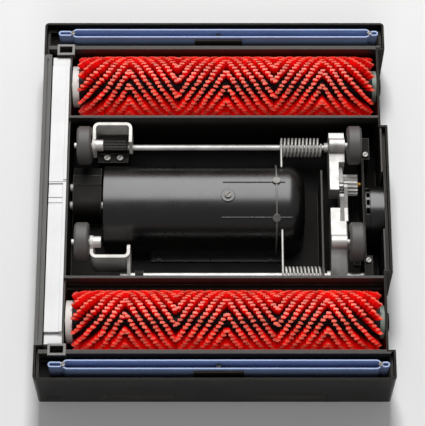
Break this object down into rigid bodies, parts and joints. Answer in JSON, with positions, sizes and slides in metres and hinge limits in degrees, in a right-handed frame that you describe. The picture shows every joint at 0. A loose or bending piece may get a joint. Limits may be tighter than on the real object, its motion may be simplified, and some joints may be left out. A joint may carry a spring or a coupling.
{
  "type": "carpet sweeper",
  "caption": "Powered carpet sweeper head with counter-rotating brushes, suction shoes and a geared wheel lift, shown underside up.",
  "frame": {"origin": "middle of the footprint, on the plane of the pads on the hood; the head is stored turned over, working side up", "axes": "+X to the right along the brushes, +Y to the far brush, +Z out of the working side, away from the hood"},
  "size_m": [0.43, 0.476, 0.119],
  "materials": {
    "housing_black": "fine satin moulding",
    "tray_black": "fine satin moulding",
    "pad_rubber": "matt moulded rubber",
    "cast_aluminium": "bright as-cast, lightly blasted",
    "steel": "ground bar",
    "zinc_steel": "zinc plated strap",
    "spring_steel": "drawn spring wire",
    "brass": "turned",
    "shoe_blue": "semi-gloss moulding",
    "brush_core": "moulded",
    "bristle_red": "nylon filament",
    "disc_white": "moulded",
    "hub_green": "moulded",
    "motor_black": "semi-gloss moulding",
    "belt_rubber": "fabric backed rubber",
    "copper_iron": "varnished winding",
    "screw_steel": "zinc plated",
    "frame_grey": "satin moulding",
    "wheel_grey": "grey tread on a moulded wheel"
  },
  "bodies": {
    "base": {"air_drum": "tray_black", "bay_blocks": "tray_black", "bay_screws": "screw_steel", "bearing_plate": "tray_black", "brush_bearings": "brass", "chassis": "tray_black", "drive_belts": "belt_rubber", "drive_case_far": "cast_aluminium", "drive_case_near": "cast_aluminium", "end_covers": "housing_black", "gearbox": "tray_black", "handle_pin": "steel", "hood": "housing_black", "hood_pads": "pad_rubber", "left_side_cover": "housing_black", "motor_bells": "cast_aluminium", "motor_cover": "motor_black", "motor_stator": "steel", "motor_strap": "spring_steel", "shoe_screws": "screw_steel", "spring_far": "spring_steel", "spring_near": "spring_steel", "suction_ports": "tray_black", "suction_shoe_far": "shoe_blue", "suction_shoe_near": "shoe_blue", "window_frames": "frame_grey"},
    "motor_armature": {"motor_rotor": "copper_iron", "motor_gear": "steel", "motor_pulley": "cast_aluminium"},
    "layshaft_set": {"layshaft": "steel", "layshaft_gear": "steel", "layshaft_pulley": "cast_aluminium"},
    "lift_pinion_set": {"lift_pinion": "steel", "pinion_axle": "brass"},
    "handle": {"handle_socket": "housing_black"},
    "brush_far": {"brush_core_far": "brush_core", "bristles_far": "bristle_red", "brush_spindle_far": "steel", "drive_disc_far": "disc_white", "brush_end_hub_far": "hub_green", "brush_pulley_far": "cast_aluminium"},
    "lift_far": {"lift_arm_far": "cast_aluminium", "lift_shaft_far": "steel", "wheel_strap_far": "zinc_steel", "wheel_axles_far": "steel"},
    "wheel_body_far_left": {"wheel_far_left": "wheel_grey"},
    "wheel_body_far_right": {"wheel_far_right": "wheel_grey"},
    "brush_near": {"brush_core_near": "brush_core", "bristles_near": "bristle_red", "brush_spindle_near": "steel", "drive_disc_near": "disc_white", "brush_end_hub_near": "hub_green", "brush_pulley_near": "cast_aluminium"},
    "lift_near": {"lift_arm_near": "cast_aluminium", "lift_shaft_near": "steel", "wheel_strap_near": "zinc_steel", "wheel_axles_near": "steel"},
    "wheel_body_near_left": {"wheel_near_left": "wheel_grey"},
    "wheel_body_near_right": {"wheel_near_right": "wheel_grey"}
  },
  "joints": [
    {"name": "motor_spin", "type": "hinge", "parent": "base", "child": "motor_armature", "pos_m": [0, 0.006, 0.052], "axis": [1, 0, 0], "continuous": true},
    {"name": "layshaft_spin", "type": "hinge", "parent": "base", "child": "layshaft_set", "pos_m": [0, 0.03, 0.052], "axis": [1, 0, 0], "continuous": true},
    {"name": "brush_far_spin", "type": "hinge", "parent": "base", "child": "brush_far", "pos_m": [0, 0.158, 0.078], "axis": [1, 0, 0], "continuous": true},
    {"name": "brush_near_spin", "type": "hinge", "parent": "base", "child": "brush_near", "pos_m": [0, -0.158, 0.078], "axis": [1, 0, 0], "continuous": true},
    {"name": "lift_near_swing", "type": "hinge", "parent": "base", "child": "lift_near", "pos_m": [0, -0.093, 0.065], "axis": [1, 0, 0], "range_deg": [-18, 0], "stiffness_Nm_per_rad": 2, "springref_deg": 20.05},
    {"name": "lift_far_swing", "type": "hinge", "parent": "base", "child": "lift_far", "pos_m": [0, 0.0795, 0.065], "axis": [1, 0, 0], "range_deg": [0, 24.25], "stiffness_Nm_per_rad": 1, "springref_deg": -20.05},
    {"name": "lift_pinion_turn", "type": "hinge", "parent": "base", "child": "lift_pinion_set", "pos_m": [0, 0.02991, 0.06028], "axis": [1, 0, 0], "range_deg": [0, 166.51]},
    {"name": "handle_fold", "type": "hinge", "parent": "base", "child": "handle", "pos_m": [0, -0.212, 0.016], "axis": [1, 0, 0], "range_deg": [-95, 0]},
    {"name": "wheel_far_left_spin", "type": "hinge", "parent": "lift_far", "child": "wheel_body_far_left", "pos_m": [-0.161, 0.0686, 0.095], "axis": [1, 0, 0], "continuous": true},
    {"name": "wheel_far_right_spin", "type": "hinge", "parent": "lift_far", "child": "wheel_body_far_right", "pos_m": [0.1726, 0.0686, 0.095], "axis": [1, 0, 0], "continuous": true},
    {"name": "wheel_near_left_spin", "type": "hinge", "parent": "lift_near", "child": "wheel_body_near_left", "pos_m": [-0.161, -0.0606, 0.095], "axis": [1, 0, 0], "continuous": true},
    {"name": "wheel_near_right_spin", "type": "hinge", "parent": "lift_near", "child": "wheel_body_near_right", "pos_m": [0.1726, -0.0606, 0.095], "axis": [1, 0, 0], "continuous": true}
  ],
  "couplings": [
    {"joint": "layshaft_spin", "follows": "motor_spin", "ratio": -1},
    {"joint": "brush_far_spin", "follows": "motor_spin", "ratio": -0.6},
    {"joint": "brush_near_spin", "follows": "motor_spin", "ratio": 0.6},
    {"joint": "lift_far_swing", "follows": "lift_near_swing", "ratio": -1.3469},
    {"joint": "lift_pinion_turn", "follows": "lift_near_swing", "ratio": -9.25}
  ]
}
